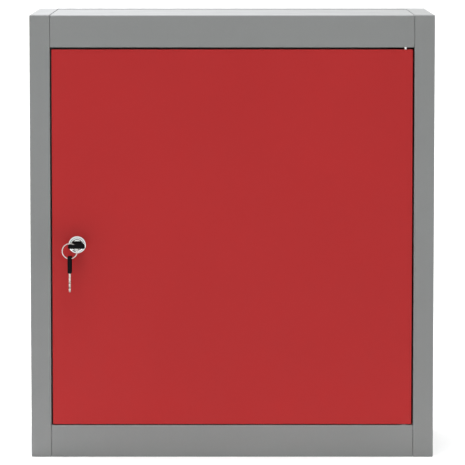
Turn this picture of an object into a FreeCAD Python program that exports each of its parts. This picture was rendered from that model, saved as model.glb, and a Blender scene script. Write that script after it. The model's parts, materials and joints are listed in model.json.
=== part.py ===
import FreeCAD, Part
import math
import os
import re
import Sketcher

# Steel tool cabinet with one key-locked door, in millimetres.
# X runs to the right, Y from the front into the cabinet, Z up.
# The origin is the middle of the base, on the surface that the cabinet stands on.

# Driving sizes: name, number, meaning.
SIZES = (
    ("cabinet_width", 500, "overall width"),
    ("cabinet_height", 550, "overall height"),
    ("cabinet_depth", 240, "overall depth"),
    ("shell_sheet", 1.2, "sheet of the shell"),
    ("shell_bend_radius", 1.5, "outer radius of the bends in the shell"),
    ("shell_corner_bevel", 1, "bevel of the corners between the flanges of a side panel"),
    ("opening_edge_radius", 0.6, "rounding of the stile edges beside the opening"),
    ("stile_width", 25, "flange of each side panel, seen as the stile"),
    ("rail_height", 40, "front rail of the top and of the bottom panel"),
    ("rear_flange_depth", 25, "flange of the back panel, top and bottom"),
    ("seam_gap", 0.6, "gap of the butted seams"),
    ("top_setback", 0.4, "sheet of the top below the flanges around it"),
    ("lap_width", 12, "lap strip beyond a side seam"),
    ("stop_width", 10, "door stop flange inside the opening"),
    ("plug_weld_diameter", 5, "plug weld in the top flange of the back panel"),
    ("plug_weld_spacing", 170, "distance between the plug welds"),
    ("wall_hole_diameter", 8, "wall fixing hole"),
    ("wall_hole_inset_x", 100, "wall hole from the side of the cabinet"),
    ("wall_hole_inset_z", 70, "wall hole from the base and from the top"),
    ("door_thickness", 20, "door over its folded edges"),
    ("door_sheet", 1, "sheet of the door"),
    ("door_bend_radius", 1.2, "outer radius of the bends in the door"),
    ("door_corner_bevel", 0.8, "bevel of the corners between the folded edges of the door"),
    ("door_return", 15, "return flange at the back of the door edges"),
    ("door_side_gap", 2, "gap between door and stile"),
    ("door_top_gap", 2.5, "gap above the door"),
    ("door_bottom_gap", 1, "gap below the door"),
    ("door_rear_gap", 1.5, "gap between the door and its stop flange"),
    ("hat_crown", 40, "crown of the door stiffener"),
    ("hat_flange", 12, "each flange of the door stiffener"),
    ("hat_height", 15, "depth of the door stiffener"),
    ("hat_end_gap", 12, "from the door edge to the end of the stiffener"),
    ("pin_diameter", 4, "hinge pin"),
    ("pin_bevel", 0.5, "bevel at the tip of a hinge pin"),
    ("pin_inset_x", 11, "pin axis from the side of the opening"),
    ("pin_inset_y", 5, "pin axis behind the front"),
    ("pin_fit", 0.05, "clearance around the hinge pin in its bush"),
    ("press_clearance", 0.02, "clearance around a pressed part"),
    ("pin_overlap", 6, "length of a pin beyond the lip of the shell"),
    ("bush_diameter", 5.6, "hinge bush where it sits in the lip of the shell"),
    ("bush_collar_diameter", 7.2, "hinge bush behind the lip"),
    ("bush_collar_height", 4, "height of the hinge bush behind the lip"),
    ("washer_diameter", 9, "thrust washer under the door"),
    ("washer_clearance", 0.1, "clearance between thrust washer and door"),
    ("block_width", 17, "hinge block across the door"),
    ("block_depth", 10, "hinge block into the door"),
    ("block_height", 12, "hinge block up the door"),
    ("buffer_diameter", 8, "rubber door buffer"),
    ("buffer_clearance", 0.3, "clearance between buffer and door"),
    ("buffer_height_inset", 80, "buffer from the end of the opening"),
    ("lock_inset", 31, "lock axis from the edge of the door"),
    ("lock_height", 265.5, "lock axis above the base"),
    ("lock_disc_diameter", 21.5, "disc of the lock"),
    ("lock_disc_height", 3, "disc of the lock in front of the door"),
    ("lock_disc_chamfer", 1.4, "bevel of the disc"),
    ("lock_barrel_diameter", 18, "barrel of the lock"),
    ("lock_hole_clearance", 0.1, "clearance around the barrel in the door"),
    ("lock_nut_width", 23, "lock nut across its flats"),
    ("lock_nut_height", 4, "height of the lock nut"),
    ("plug_diameter", 12.4, "turning plug of the lock"),
    ("plug_fit", 0.08, "clearance around the plug"),
    ("plug_recess", 0.4, "plug face behind the face of the disc"),
    ("barrel_setback", 0.4, "gap between barrel and cam"),
    ("plug_web", 1.6, "metal between keyway and screw hole"),
    ("tail_width", 7, "square tail of the plug"),
    ("tail_clearance", 0.05, "clearance of that square in the cam"),
    ("tail_setback", 0.2, "tail behind the face of the cam"),
    ("cam_gap", 1.5, "gap between the stop flange and the turned cam"),
    ("cam_thickness", 2, "plate of the cam"),
    ("cam_width", 16, "width of the cam"),
    ("cam_engagement", 6, "cam behind the stop flange when it is turned"),
    ("cam_screw_diameter", 3.5, "screw of the cam"),
    ("cam_screw_length", 6, "screw below its washer"),
    ("cam_screw_head_diameter", 7, "head of the cam screw"),
    ("cam_screw_head_height", 2.4, "height of that head"),
    ("cam_washer_diameter", 11, "washer of the cam screw"),
    ("cam_washer_height", 1, "height of that washer"),
    ("key_thickness", 2.2, "key blade"),
    ("key_width", 7.5, "width of the key blade"),
    ("key_fit", 0.12, "clearance of the blade in the keyway"),
    ("key_end_clearance", 0.3, "clearance at the tip of the key"),
    ("key_tang", 8, "key blade inside its head"),
    ("key_cut_depth", 1.4, "deepest cut in the key"),
    ("key_cut_pitch", 3, "distance between the cuts in the key"),
    ("key_tip_length", 3, "taper at the tip of the key"),
    ("head_standoff", 5.5, "key head in front of the door"),
    ("head_length", 20.8, "length of the key head"),
    ("head_inner_width", 15.4, "width of the key head at the blade"),
    ("head_outer_width", 22, "width of the key head at its outer end"),
    ("head_thickness", 5, "thickness of the key head"),
    ("head_bevel", 1, "bevel of the key head"),
    ("head_corner_radius", 3, "corner radius of the key head"),
    ("head_slot_length", 12.4, "slot of the key head, across"),
    ("head_slot_width", 5, "slot of the key head, lengthwise"),
    ("head_slot_inset", 4.1, "middle of the slot from the outer end"),
    ("ring_radius", 9.3, "key ring to the middle of its wire"),
    ("ring_wire", 1.2, "square wire of the key ring"),
    ("hang_clearance", 0.2, "clearance where ring and keys hang on each other"),
    ("upright_width", 20, "slotted upright"),
    ("upright_depth", 8, "upright from the wall"),
    ("upright_sheet", 1, "sheet of the upright"),
    ("upright_end_gap", 15, "upright from the end of the shell"),
    ("upright_front_inset", 50, "front upright from the front"),
    ("upright_rear_inset", 35, "rear upright from the back"),
    ("shelf_slot_width", 10, "slot in the upright, across"),
    ("shelf_slot_height", 3, "slot in the upright, up"),
    ("shelf_slot_pitch", 25, "distance between the slots"),
    ("shelf_sheet", 1.2, "sheet of the shelf"),
    ("shelf_front_inset", 35, "front of the shelf from the front"),
    ("shelf_rear_gap", 6, "gap behind the shelf"),
    ("shelf_side_gap", 1.5, "gap between shelf and upright"),
    ("shelf_fold", 18, "folded edge of the shelf"),
    ("shelf_fold_return", 9, "return of the front edge"),
    ("clip_width", 9, "shelf clip"),
    ("clip_sheet", 1.5, "thickness of the shelf clip"),
    ("clip_ledge", 12, "ledge of the clip under the shelf"),
    ("clip_leg", 10, "leg of the clip down the upright"),
    ("clip_tongue", 1.6, "tongue of the clip behind the upright"),
    ("cut_overrun", 1, "cut beyond the face that it opens"),
)

# Counts: name, number, meaning.
COUNTS = (
    ("lower_shelf_slot", 5, "slots from the lowest one up to the lower shelf"),
    ("upper_shelf_slot", 11, "slots from the lowest one up to the upper shelf"),
)

# Places worked out from the sizes. A place is a height above the base, a distance from the
# middle plane, or a depth along Y from the middle of the cabinet.
PLACES = {
    "half_width": "cabinet_width / 2",
    "front_y": "-cabinet_depth / 2",
    "rear_y": "cabinet_depth / 2",
    "opening_half": "half_width - stile_width",
    "panel_half": "opening_half - seam_gap",
    "lap_near": "panel_half - shell_sheet",
    "lap_far": "opening_half + lap_width",
    "opening_low": "rail_height",
    "opening_high": "cabinet_height - rail_height",
    "rear_seam_y": "rear_y - rear_flange_depth - seam_gap",
    "rear_lap_y": "rear_y - 2 * shell_sheet - seam_gap",
    "plug_weld_y": "rear_y - rear_flange_depth / 2",
    "door_back_y": "front_y + door_thickness",
    "stop_y": "door_back_y + door_rear_gap",
    "stop_back_y": "stop_y + shell_sheet",
    "door_half": "opening_half - door_side_gap",
    "door_low": "opening_low + door_bottom_gap",
    "door_high": "opening_high - door_top_gap",
    "skin_y": "front_y + door_sheet",
    "pin_x": "opening_half - pin_inset_x",
    "pin_y": "front_y + pin_inset_y",
    "hinge_notch_x": "pin_x - door_thickness",
    "block_side_x": "door_half - door_sheet",
    "lock_x": "lock_inset - door_half",
    "disc_y": "front_y - lock_disc_height",
    "plug_face_y": "disc_y + plug_recess",
    "cam_y": "stop_back_y + cam_gap",
    "cam_back_y": "cam_y + cam_thickness",
    "barrel_end_y": "cam_y - barrel_setback",
    "screw_tip_y": "cam_back_y - cam_screw_length",
    "keyway_end_y": "screw_tip_y - plug_web",
    "key_tip_y": "keyway_end_y - key_end_clearance",
    "head_y": "front_y - head_standoff",
    "blade_length": "key_tip_y - head_y",
    "cam_reach": "lock_inset + door_side_gap - stop_width + cam_engagement - cam_width / 2",
    "slot_back": "head_length - head_slot_inset",
    "ring_y": "head_y - slot_back",
    "head_half_at_slot": "head_inner_width / 2"
                         " + (head_outer_width - head_inner_width) / 2 * slot_back / head_length",
    "strut_width": "head_half_at_slot - head_slot_length / 2",
    "ring_inner": "ring_radius - ring_wire / 2",
    "ring_x": "lock_x - head_slot_length / 2 - strut_width / 2",
    "ring_z": "lock_height + head_thickness / 2 + hang_clearance"
              " - sqrt(pow(ring_inner; 2) - pow(strut_width / 2; 2))",
    "spare_hang_z": "ring_z - sqrt(pow(ring_inner; 2) - pow(head_thickness / 2; 2)) + hang_clearance",
    "spare_z": "spare_hang_z - slot_back - head_slot_width / 2",
    "wall_inner": "half_width - shell_sheet",
    "web_inner": "wall_inner - upright_depth",
    "front_upright_y": "front_y + upright_front_inset",
    "rear_upright_y": "rear_y - upright_rear_inset",
    "first_slot_z": "upright_end_gap + shelf_slot_pitch",
    "lower_shelf_z": "first_slot_z + lower_shelf_slot * shelf_slot_pitch + clip_sheet / 2",
    "upper_shelf_z": "first_slot_z + upper_shelf_slot * shelf_slot_pitch + clip_sheet / 2",
    "shelf_half": "web_inner - shelf_side_gap",
    "shelf_front_y": "front_y + shelf_front_inset",
    "shelf_rear_y": "rear_y - 2 * shell_sheet - shelf_rear_gap",
}

CELLS = SIZES + COUNTS
CELL_NAMES = {name for name, number, meaning in CELLS}
LEFT = -1
RIGHT = 1
BOTTOM = -1
TOP = 1
PLANES = {"X": "YZ_Plane", "Y": "XZ_Plane", "Z": "XY_Plane"}
# Depths of the cuts along a key blade, as shares of the deepest.
KEY_CUT_SHARES = (0.45, 0.9, 0.6, 1.0, 0.35)
HEXAGON_ANGLES = (0, 60, 120, 180, 240, 300)
# Two places closer than this are one.
SAME_PLACE = 0.00001

doc = FreeCAD.newDocument("tool_cabinet")
sheet = doc.addObject("Spreadsheet::Sheet", "Sizes")
for row, (name, number, meaning) in enumerate(CELLS, start=1):
    sheet.set("A%d" % row, meaning)
    sheet.set("B%d" % row, str(number))
    sheet.setAlias("B%d" % row, name)
doc.recompute()


def spelled(formula):
    """The formula with its places worked out and each size read from the sheet."""
    def swap(match):
        word = match.group(0)
        if word in PLACES:
            return "(" + spelled(PLACES[word]) + ")"
        if word in CELL_NAMES:
            return "Sizes." + word
        return word
    return re.sub(r"[a-z][a-z_0-9]*", swap, formula)


def value(formula):
    """The number that a formula gives now."""
    return float(sheet.evalExpression(spelled(formula)))


def bind(thing, path, formula):
    thing.setExpression(path, spelled(formula))


# Outlines, each a function that draws on a sketch and ties every place to the sizes.

def place_point(sketch, line, end, across, up):
    """Tie one end, or the centre, of a line or arc to its two distances from the origin."""
    for direction, formula in (("DistanceX", across), ("DistanceY", up)):
        tie = Sketcher.Constraint(direction, -1, 1, line, end, value(formula))
        index = sketch.addConstraint(tie)
        bind(sketch, "Constraints[%d]" % index, formula)


def outline(points):
    """A closed outline of straight edges through (across, up) points."""
    def draw(sketch):
        corners = [FreeCAD.Vector(value(across), value(up), 0) for across, up in points]
        count = len(points)
        lines = []
        for index in range(count):
            edge = Part.LineSegment(corners[index], corners[(index + 1) % count])
            lines.append(sketch.addGeometry(edge, False))
        for index in range(count):
            following = lines[(index + 1) % count]
            sketch.addConstraint(Sketcher.Constraint("Coincident", lines[index], 2, following, 1))
        for line, (across, up) in zip(lines, points):
            place_point(sketch, line, 1, across, up)
    return draw


def rectangle(left, right, low, high):
    return outline([(left, low), (right, low), (right, high), (left, high)])


def circle(across, up, diameter):
    def draw(sketch):
        centre = FreeCAD.Vector(value(across), value(up), 0)
        radius = "(" + diameter + ") / 2"
        edge = Part.Circle(centre, FreeCAD.Vector(0, 0, 1), value(radius))
        line = sketch.addGeometry(edge, False)
        place_point(sketch, line, 3, across, up)
        index = sketch.addConstraint(Sketcher.Constraint("Radius", line, value(radius)))
        bind(sketch, "Constraints[%d]" % index, radius)
    return draw


def slot(ends, width):
    """A slot with round ends about two points, given lowest or leftmost first."""
    def draw(sketch):
        (across_a, up_a), (across_b, up_b) = ends
        start = FreeCAD.Vector(value(across_a), value(up_a), 0)
        finish = FreeCAD.Vector(value(across_b), value(up_b), 0)
        radius = value(width) / 2
        along = (finish - start).normalize()
        side = FreeCAD.Vector(-along.y, along.x, 0) * radius
        turn = math.atan2(along.y, along.x)
        right_angle = math.pi / 2
        axis = FreeCAD.Vector(0, 0, 1)
        first = Part.ArcOfCircle(Part.Circle(start, axis, radius), turn + right_angle, turn - right_angle)
        last = Part.ArcOfCircle(Part.Circle(finish, axis, radius), turn - right_angle, turn + right_angle)
        arc_a = sketch.addGeometry(first, False)
        line_a = sketch.addGeometry(Part.LineSegment(start - side, finish - side), False)
        arc_b = sketch.addGeometry(last, False)
        line_b = sketch.addGeometry(Part.LineSegment(finish + side, start + side), False)
        sketch.addConstraint(Sketcher.Constraint("Tangent", arc_a, 2, line_a, 1))
        sketch.addConstraint(Sketcher.Constraint("Tangent", line_a, 2, arc_b, 1))
        sketch.addConstraint(Sketcher.Constraint("Tangent", arc_b, 2, line_b, 1))
        sketch.addConstraint(Sketcher.Constraint("Tangent", line_b, 2, arc_a, 1))
        place_point(sketch, arc_a, 3, across_a, up_a)
        place_point(sketch, arc_b, 3, across_b, up_b)
        index = sketch.addConstraint(Sketcher.Constraint("Radius", arc_a, radius))
        bind(sketch, "Constraints[%d]" % index, "(" + width + ") / 2")
    return draw


# Features, each made on a sketch of the body's own planes.

def new_body(name):
    body = doc.addObject("PartDesign::Body", name)
    body.Label = name
    body.AllowCompound = True
    return body


def new_sketch(body, name, axis, drawings):
    sketch = body.newObject("Sketcher::SketchObject", body.Name + "_" + name + "_sketch")
    planes = [plane for plane in body.Origin.OriginFeatures if plane.Role == PLANES[axis]]
    sketch.AttachmentSupport = [(planes[0], "")]
    sketch.MapMode = "FlatFace"
    for draw in drawings:
        draw(sketch)
    return sketch


def pad(body, name, axis, start, end, *drawings):
    """Material from start to end along an axis of the body."""
    sketch = new_sketch(body, name, axis, drawings)
    seat = "-(" + end + ")" if axis == "Y" else start
    bind(sketch, "AttachmentOffset.Base.z", seat)
    feature = body.newObject("PartDesign::Pad", body.Name + "_" + name)
    feature.Profile = sketch
    bind(feature, "Length", "(" + end + ") - (" + start + ")")
    return feature


def cut(body, name, axis, start, end, *drawings):
    """Room from start to end along an axis of the body."""
    sketch = new_sketch(body, name, axis, drawings)
    seat = "-(" + start + ")" if axis == "Y" else end
    bind(sketch, "AttachmentOffset.Base.z", seat)
    feature = body.newObject("PartDesign::Pocket", body.Name + "_" + name)
    feature.Profile = sketch
    bind(feature, "Length", "(" + end + ") - (" + start + ")")
    return feature


def turned(body, name, axis, points):
    """A solid of revolution about an axis of the body, from (radius, along) points."""
    sketch = new_sketch(body, name, "Y" if axis == "Z" else "Z", [outline(points)])
    feature = body.newObject("PartDesign::Revolution", body.Name + "_" + name)
    feature.Profile = sketch
    feature.ReferenceAxis = (sketch, ["V_Axis"])
    feature.Angle = 360
    return feature


def edge_names(shape, wanted):
    return ["Edge%d" % number for number, edge in enumerate(shape.Edges, start=1) if wanted(edge)]


def fillet(body, name, radius, wanted):
    """Round the edges that wanted picks from the body as it is so far."""
    doc.recompute()
    base = body.Tip
    feature = body.newObject("PartDesign::Fillet", body.Name + "_" + name)
    feature.Base = (base, edge_names(base.Shape, wanted))
    bind(feature, "Radius", radius)
    return feature


def chamfer(body, name, size, wanted):
    """Bevel the edges that wanted picks from the body as it is so far."""
    doc.recompute()
    base = body.Tip
    feature = body.newObject("PartDesign::Chamfer", body.Name + "_" + name)
    feature.Base = (base, edge_names(base.Shape, wanted))
    bind(feature, "Size", size)
    return feature


def near(first, second):
    return abs(first - second) < SAME_PLACE


def lies_at(edge, **places):
    """Whether the whole edge lies at each place given for x, y or z."""
    return all(
        near(getattr(vertex, axis.upper()), value(formula))
        for axis, formula in places.items()
        for vertex in edge.Vertexes
    )


def runs_along(edge, axis):
    """Whether a straight edge runs along X, Y or Z."""
    first, last = edge.Vertexes[0].Point, edge.Vertexes[-1].Point
    others = [other.lower() for other in "XYZ" if other != axis]
    return len(edge.Vertexes) == 2 and all(near(getattr(first, o), getattr(last, o)) for o in others)


def seat(body, **places):
    """Place the body's origin by formulas for x, y and z."""
    for axis, formula in places.items():
        bind(body, "Placement.Base." + axis, formula)


def span(side, near_middle, far):
    """Two distances from the middle plane as the lower and higher X of one side."""
    if side == RIGHT:
        return near_middle, far
    return "-(" + far + ")", "-(" + near_middle + ")"


def rise(end, near_end, far):
    """Two distances from the base or the top as the lower and higher Z."""
    if end == BOTTOM:
        return near_end, far
    return "cabinet_height - (" + far + ")", "cabinet_height - (" + near_end + ")"


# Shell

def side_panel(name, side):
    """A tray whose flanges are the stile, the strips beside the top and base, and the rear strip."""
    body = new_body(name)
    low, high = span(side, "opening_half", "half_width")
    pad(body, "block", "X", low, high, rectangle("front_y", "rear_y", "0", "cabinet_height"))
    open_x, wall_x = (low, high) if side == RIGHT else (high, low)
    chamfer(body, "corners", "shell_corner_bevel", lambda edge: runs_along(edge, "X"))
    fillet(body, "bends", "shell_bend_radius", lambda edge: lies_at(edge, x=wall_x))
    low, high = span(side, "opening_half - cut_overrun", "half_width - shell_sheet")
    cut(body, "cavity", "X", low, high,
        rectangle("front_y + shell_sheet", "rear_y - shell_sheet",
                  "shell_sheet", "cabinet_height - shell_sheet"))
    low, high = span(side, "opening_half", "opening_half + shell_sheet")
    pad(body, "lip", "X", low, high,
        rectangle("front_y", "stop_back_y", "opening_low", "opening_high"))
    if side == LEFT:
        low, high = span(side, "opening_half - stop_width", "opening_half + shell_sheet")
        pad(body, "stop", "Y", "stop_y", "stop_back_y",
            rectangle(low, high, "opening_low", "opening_high"))
    fillet(body, "opening_edge", "opening_edge_radius",
           lambda edge: lies_at(edge, x=open_x, y="front_y"))
    return body


def end_panel(name, end):
    """Top or bottom: sheet, front rail and lip in one fold, with its door stop and lap strips."""
    body = new_body(name)
    towards = 1 if end == BOTTOM else -1
    face, inside = ("0", "shell_sheet") if end == BOTTOM else (
        "cabinet_height - top_setback", "cabinet_height - top_setback - shell_sheet")
    lip_inside, lip = rise(end, "rail_height - shell_sheet", "rail_height")[::towards]
    section = [
        ("front_y", face),
        ("rear_seam_y", face),
        ("rear_seam_y", inside),
        ("front_y + shell_sheet", inside),
        ("front_y + shell_sheet", lip_inside),
        ("stop_back_y", lip_inside),
        ("stop_back_y", lip),
        ("front_y", lip),
    ]
    pad(body, "fold", "X", "-panel_half", "panel_half", outline(section))
    low, high = rise(end, "rail_height - shell_sheet", "rail_height + stop_width")
    pad(body, "stop", "Y", "stop_y", "stop_back_y",
        rectangle("stop_width - panel_half", "hinge_notch_x", low, high))
    laps = [span(side, "lap_near", "lap_far") for side in (LEFT, RIGHT)]
    low, high = rise(end, "shell_sheet", "2 * shell_sheet")
    pad(body, "side_laps", "Z", low, high,
        *[rectangle(left, right, "front_y + 2 * shell_sheet", "rear_lap_y") for left, right in laps])
    pad(body, "rear_lap", "Z", low, high,
        rectangle("-panel_half", "panel_half", "rear_seam_y - shell_sheet", "rear_lap_y"))
    low, high = rise(end, "shell_sheet", "rail_height - shell_sheet")
    pad(body, "front_laps", "Y", "front_y + shell_sheet", "front_y + 2 * shell_sheet",
        *[rectangle(left, right, low, high) for left, right in laps])
    fillet(body, "front_bend", "shell_bend_radius",
           lambda edge: lies_at(edge, y="front_y", z=face))
    fillet(body, "lip_bend", "opening_edge_radius", lambda edge: lies_at(edge, y="front_y", z=lip))
    low, high = rise(end, "rail_height - shell_sheet - cut_overrun", "rail_height + cut_overrun")
    cut(body, "bush_hole", "Z", low, high,
        circle("pin_x", "pin_y", "bush_diameter + 2 * press_clearance"))
    return body


def plug_weld_circles(diameter):
    """The three plug welds of the top, drawn on the level."""
    return [circle(across, "plug_weld_y", diameter)
            for across in ("-plug_weld_spacing", "0", "plug_weld_spacing")]


def back_panel():
    """The rear sheet with a flange at its top and base, and lap strips behind the side panels."""
    body = new_body("back_panel")
    section = [
        ("rear_y", "0"),
        ("rear_y", "cabinet_height"),
        ("rear_y - rear_flange_depth", "cabinet_height"),
        ("rear_y - rear_flange_depth", "cabinet_height - shell_sheet"),
        ("rear_y - shell_sheet", "cabinet_height - shell_sheet"),
        ("rear_y - shell_sheet", "shell_sheet"),
        ("rear_y - rear_flange_depth", "shell_sheet"),
        ("rear_y - rear_flange_depth", "0"),
    ]
    pad(body, "fold", "X", "-panel_half", "panel_half", outline(section))
    fillet(body, "bends", "shell_bend_radius",
           lambda edge: lies_at(edge, y="rear_y", z="0")
           or lies_at(edge, y="rear_y", z="cabinet_height"))
    laps = [span(side, "lap_near", "lap_far") for side in (LEFT, RIGHT)]
    pad(body, "side_laps", "Y", "rear_y - 2 * shell_sheet", "rear_y - shell_sheet",
        *[rectangle(left, right, "2 * shell_sheet + seam_gap",
                    "cabinet_height - 2 * shell_sheet - seam_gap") for left, right in laps])
    holes = [circle(across, up, "wall_hole_diameter")
             for across in ("wall_hole_inset_x - half_width", "half_width - wall_hole_inset_x")
             for up in ("wall_hole_inset_z", "cabinet_height - wall_hole_inset_z")]
    cut(body, "wall_holes", "Y", "rear_y - shell_sheet - cut_overrun", "rear_y + cut_overrun", *holes)
    low, high = rise(TOP, "-cut_overrun", "shell_sheet + cut_overrun")
    cut(body, "weld_holes", "Z", low, high, *plug_weld_circles("plug_weld_diameter"))
    return body


def top_welds():
    """Three plug welds that fill holes in the rear flange and hold it to the lap strip under it."""
    body = new_body("top_welds")
    low, high = rise(TOP, "0", "shell_sheet")
    pad(body, "plugs", "Z", low, high,
        *plug_weld_circles("plug_weld_diameter - 2 * press_clearance"))
    return body


def door_buffers():
    """Two rubber discs on the stop flange, which the closed door nearly touches."""
    body = new_body("door_buffers")
    across = "(stop_width / 2) - opening_half"
    heights = ("opening_low + buffer_height_inset", "opening_high - buffer_height_inset")
    pad(body, "discs", "Y", "door_back_y + buffer_clearance", "stop_y",
        *[circle(across, up, "buffer_diameter") for up in heights])
    return body


# Shelves

def upright(name, side, depth):
    """A slotted channel that stands against the side wall, open towards the wall."""
    body = new_body(name)
    seat(body, y=depth)
    half = "upright_width / 2"
    low, high = "upright_end_gap", "cabinet_height - upright_end_gap"
    left, right = span(side, "web_inner", "wall_inner")
    pad(body, "channel", "X", left, right, rectangle("-" + half, half, low, high))
    left, right = span(side, "web_inner + upright_sheet", "wall_inner + cut_overrun")
    inner_half = "(" + half + " - upright_sheet)"
    cut(body, "hollow", "X", left, right, rectangle(
        "-" + inner_half, inner_half, low + " - cut_overrun", high + " + cut_overrun"))
    left, right = span(side, "web_inner - cut_overrun", "web_inner + upright_sheet + cut_overrun")
    first = cut(body, "slot", "X", left, right, rectangle(
        "-shelf_slot_width / 2", "shelf_slot_width / 2",
        "first_slot_z - shelf_slot_height / 2", "first_slot_z + shelf_slot_height / 2"))
    row = body.newObject("PartDesign::LinearPattern", body.Name + "_slots")
    row.Originals = [first]
    row.Direction = (first.Profile[0], ["V_Axis"])
    row.Mode = "Spacing"
    bind(row, "Offset", "shelf_slot_pitch")
    bind(row, "Occurrences",
         "floor((cabinet_height - 2 * upright_end_gap) / shelf_slot_pitch) - 1")
    body.Tip = row
    return body


def shelf(name, level):
    """A sheet folded down at the front and back, on four clips."""
    body = new_body(name)
    seat(body, z=level)
    section = [
        ("shelf_front_y", "shelf_sheet"),
        ("shelf_rear_y", "shelf_sheet"),
        ("shelf_rear_y", "shelf_sheet - shelf_fold"),
        ("shelf_rear_y - shelf_sheet", "shelf_sheet - shelf_fold"),
        ("shelf_rear_y - shelf_sheet", "0"),
        ("shelf_front_y + shelf_sheet", "0"),
        ("shelf_front_y + shelf_sheet", "2 * shelf_sheet - shelf_fold"),
        ("shelf_front_y + shelf_fold_return", "2 * shelf_sheet - shelf_fold"),
        ("shelf_front_y + shelf_fold_return", "shelf_sheet - shelf_fold"),
        ("shelf_front_y", "shelf_sheet - shelf_fold"),
    ]
    pad(body, "fold", "X", "-shelf_half", "shelf_half", outline(section))
    fillet(body, "bends", "shelf_sheet",
           lambda edge: lies_at(edge, y="shelf_front_y") and not lies_at(edge, x="shelf_half")
           and not lies_at(edge, x="-shelf_half")
           or lies_at(edge, y="shelf_rear_y", z="shelf_sheet"))
    return body


def shelf_clips():
    """Eight bent clips: a tongue through the slot, a leg down the upright and a ledge under the shelf."""
    body = new_body("shelf_clips")
    outlines = []
    for level in ("lower_shelf_z", "upper_shelf_z"):
        for sign in ("", "-"):
            profile = [
                ("web_inner + upright_sheet + clip_tongue", "0"),
                ("web_inner - clip_ledge", "0"),
                ("web_inner - clip_ledge", "-clip_sheet"),
                ("web_inner - clip_sheet", "-clip_sheet"),
                ("web_inner - clip_sheet", "-clip_leg"),
                ("web_inner", "-clip_leg"),
                ("web_inner", "-clip_sheet"),
                ("web_inner + upright_sheet + clip_tongue", "-clip_sheet"),
            ]
            outlines.append(outline([
                (sign + "(" + across + ")", level + " + (" + up + ")") for across, up in profile]))
    for label, depth in (("front", "front_upright_y"), ("rear", "rear_upright_y")):
        pad(body, label, "Y", depth + " - clip_width / 2", depth + " + clip_width / 2", *outlines)
    return body


# Hinge

def pivot_bush(name, level, sign):
    """A shouldered bush pressed into a lip of the shell, with its wide end away from the door."""
    body = new_body(name)
    seat(body, x="pin_x", y="pin_y", z=level)
    bore = "pin_diameter / 2 + pin_fit"
    shoulder = sign + "shell_sheet"
    far = sign + "(shell_sheet + bush_collar_height)"
    turned(body, "bush", "Z", [
        (bore, "0"),
        ("bush_diameter / 2", "0"),
        ("bush_diameter / 2", shoulder),
        ("bush_collar_diameter / 2", shoulder),
        ("bush_collar_diameter / 2", far),
        (bore, far),
    ])
    return body


def lower_hinge_washer():
    """The ring that carries the door on the lip below it."""
    body = new_body("lower_hinge_washer")
    seat(body, x="pin_x", y="pin_y", z="opening_low")
    top = "door_bottom_gap - washer_clearance"
    turned(body, "ring", "Z", [
        ("pin_diameter / 2 + pin_fit", "0"),
        ("washer_diameter / 2", "0"),
        ("washer_diameter / 2", top),
        ("pin_diameter / 2 + pin_fit", top),
    ])
    return body


def hinge_block(name, low, high):
    """A steel block in the corner of the door, bored for its pin."""
    body = new_body(name)
    pad(body, "block", "Z", low, high,
        rectangle("block_side_x - block_width", "block_side_x", "skin_y", "skin_y + block_depth"))
    cut(body, "bore", "Z", low + " - cut_overrun", high + " + cut_overrun",
        circle("pin_x", "pin_y", "pin_diameter + 2 * press_clearance"))
    return body


def hinge_pin(name, low, high, tip):
    """A plain pin with a bevel at the end that enters its bush."""
    body = new_body(name)
    pad(body, "pin", "Z", low, high, circle("pin_x", "pin_y", "pin_diameter"))
    chamfer(body, "tip", "pin_bevel", lambda edge: lies_at(edge, z=tip))
    return body


# Door

def door_panel():
    """A tray folded from one sheet, with return flanges at the back of its four edges."""
    body = new_body("door_panel")
    pad(body, "block", "Y", "front_y", "door_back_y",
        rectangle("-door_half", "door_half", "door_low", "door_high"))
    chamfer(body, "corners", "door_corner_bevel", lambda edge: runs_along(edge, "Y"))
    fillet(body, "bends", "door_bend_radius", lambda edge: lies_at(edge, y="front_y"))
    cut(body, "hollow", "Y", "skin_y", "door_back_y - door_sheet",
        rectangle("door_sheet - door_half", "door_half - door_sheet",
                  "door_low + door_sheet", "door_high - door_sheet"))
    cut(body, "window", "Y", "door_back_y - door_sheet - cut_overrun", "door_back_y + cut_overrun",
        rectangle("door_return - door_half", "door_half - door_return",
                  "door_low + door_return", "door_high - door_return"))
    cut(body, "lock_hole", "Y", "front_y - cut_overrun", "skin_y + cut_overrun",
        circle("lock_x", "lock_height", "lock_barrel_diameter + 2 * lock_hole_clearance"))
    pin_hole = circle("pin_x", "pin_y", "pin_diameter + 2 * press_clearance")
    cut(body, "upper_pin_hole", "Z", "door_high - door_sheet - cut_overrun",
        "door_high + cut_overrun", pin_hole)
    cut(body, "lower_pin_hole", "Z", "door_low - cut_overrun",
        "door_low + door_sheet + cut_overrun", pin_hole)
    return body


def door_stiffener():
    """A hat channel welded to the inside of the door skin."""
    body = new_body("door_stiffener")
    inner = "hat_crown / 2 - door_sheet"
    outer = "hat_crown / 2 + hat_flange"
    profile = [
        ("-(" + outer + ")", "0"),
        ("-(" + inner + ")", "0"),
        ("-(" + inner + ")", "hat_height - door_sheet"),
        (inner, "hat_height - door_sheet"),
        (inner, "0"),
        (outer, "0"),
        (outer, "door_sheet"),
        ("hat_crown / 2", "door_sheet"),
        ("hat_crown / 2", "hat_height"),
        ("-hat_crown / 2", "hat_height"),
        ("-hat_crown / 2", "door_sheet"),
        ("-(" + outer + ")", "door_sheet"),
    ]
    seat(body, y="skin_y")
    pad(body, "hat", "Z", "door_low + hat_end_gap", "door_high - hat_end_gap", outline(profile))
    return body


# Lock, each piece about the lock axis

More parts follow.
